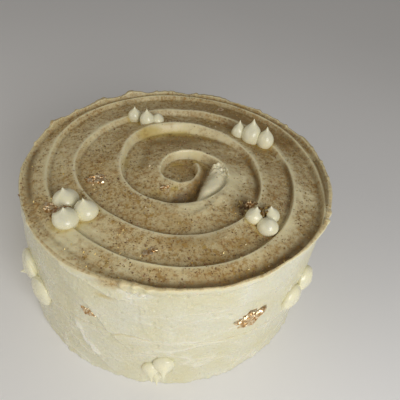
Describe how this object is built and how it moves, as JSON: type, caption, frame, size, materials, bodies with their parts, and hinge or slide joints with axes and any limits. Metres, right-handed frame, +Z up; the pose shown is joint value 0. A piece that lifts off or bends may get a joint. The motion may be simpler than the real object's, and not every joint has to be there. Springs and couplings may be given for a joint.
{
  "type": "frosted lemon layer cake",
  "caption": "Whole round lemon layer cake in buttercream, with a palette-knife spiral on top, clusters of piped kisses and scraps of gold leaf.",
  "frame": {"origin": "centre of the cake's flat underside", "axes": "+Z up, +X to the right as the cake is seen from its front, -Y towards the front"},
  "size_m": [0.208, 0.2222, 0.109],
  "materials": {
    "buttercream_coat": "soft pale lemon buttercream, knifed smooth, with bronze dust on top",
    "piped_buttercream": "ivory piped buttercream with a faint gloss"
  },
  "bodies": {
    "root": {"cake": "buttercream_coat", "kiss_left_1": "piped_buttercream", "kiss_left_2": "piped_buttercream", "kiss_left_3": "piped_buttercream", "kiss_right_1": "piped_buttercream", "kiss_right_2": "piped_buttercream", "kiss_right_3": "piped_buttercream", "kiss_back_left_1": "piped_buttercream", "kiss_back_left_2": "piped_buttercream", "kiss_back_left_3": "piped_buttercream", "kiss_back_right_1": "piped_buttercream", "kiss_back_right_2": "piped_buttercream", "kiss_back_right_3": "piped_buttercream", "kiss_side_left_1": "piped_buttercream", "kiss_side_left_2": "piped_buttercream", "kiss_side_left_3": "piped_buttercream", "kiss_side_right_1": "piped_buttercream", "kiss_side_right_2": "piped_buttercream", "kiss_side_right_3": "piped_buttercream", "kiss_side_front_1": "piped_buttercream", "kiss_side_front_2": "piped_buttercream", "kiss_side_front_3": "piped_buttercream", "kiss_side_back_1": "piped_buttercream", "kiss_side_back_2": "piped_buttercream", "kiss_side_back_3": "piped_buttercream", "kiss_side_back_left_1": "piped_buttercream", "kiss_side_back_left_2": "piped_buttercream", "kiss_side_back_left_3": "piped_buttercream"}
  },
  "joints": []
}
